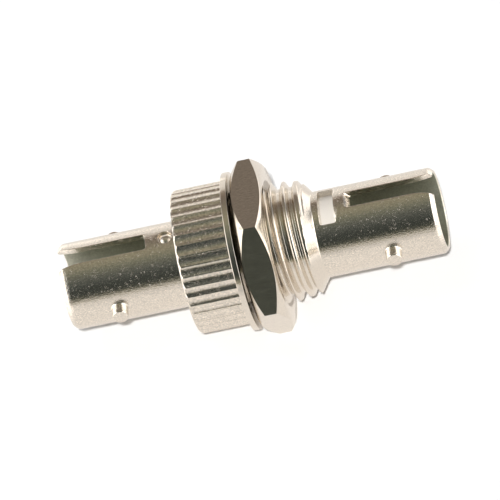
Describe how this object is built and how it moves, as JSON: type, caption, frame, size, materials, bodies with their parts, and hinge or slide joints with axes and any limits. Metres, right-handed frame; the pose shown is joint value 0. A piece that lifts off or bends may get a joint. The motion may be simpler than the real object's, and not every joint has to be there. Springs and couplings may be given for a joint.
{
  "type": "st fibre optic bulkhead adapter",
  "caption": "Straight bulkhead adapter with a slotted bayonet barrel at each end, knurled collar, threaded shank, washer and hex nut, joining fibre ferrules end to end.",
  "frame": {"origin": "middle of the alignment sleeve, on the axis, half way between the two mouths", "axes": "+X along the axis towards the mouth on the threaded side, +Z towards the key slots, bayonet lugs along +Y and -Y; it lies on a flat of the nut, at -Z"},
  "size_m": [0.031, 0.015, 0.013],
  "materials": {
    "body_plate": "satin nickel plate over a fine die-cast grain",
    "collar_plate": "satin nickel plate over a fine die-cast grain",
    "washer_plate": "bright nickel plate",
    "nut_plate": "bright nickel plate, faintly brushed",
    "holder_polymer": "smooth white polymer",
    "cap_polymer": "smooth white polymer",
    "sleeve_bronze": "polished spring bronze"
  },
  "bodies": {
    "adapter": {"threaded_body": "body_plate", "knurled_body": "collar_plate", "sleeve_holder": "holder_polymer", "holder_cap": "cap_polymer", "alignment_sleeve": "sleeve_bronze"},
    "washer": {"panel_washer": "washer_plate"},
    "nut": {"hex_nut": "nut_plate"}
  },
  "joints": [
    {"name": "washer_slide", "type": "slide", "parent": "adapter", "child": "washer", "axis": [1, 0, 0], "range_m": [0, 0.003]},
    {"name": "nut_turn", "type": "hinge", "parent": "washer", "child": "nut", "pos_m": [0.0008, 0, 0], "axis": [1, 0, 0], "range_deg": [0, 1080]}
  ],
  "couplings": [
    {"joint": "nut_turn", "follows": "washer_slide", "rad_per_m": 6283.2}
  ]
}
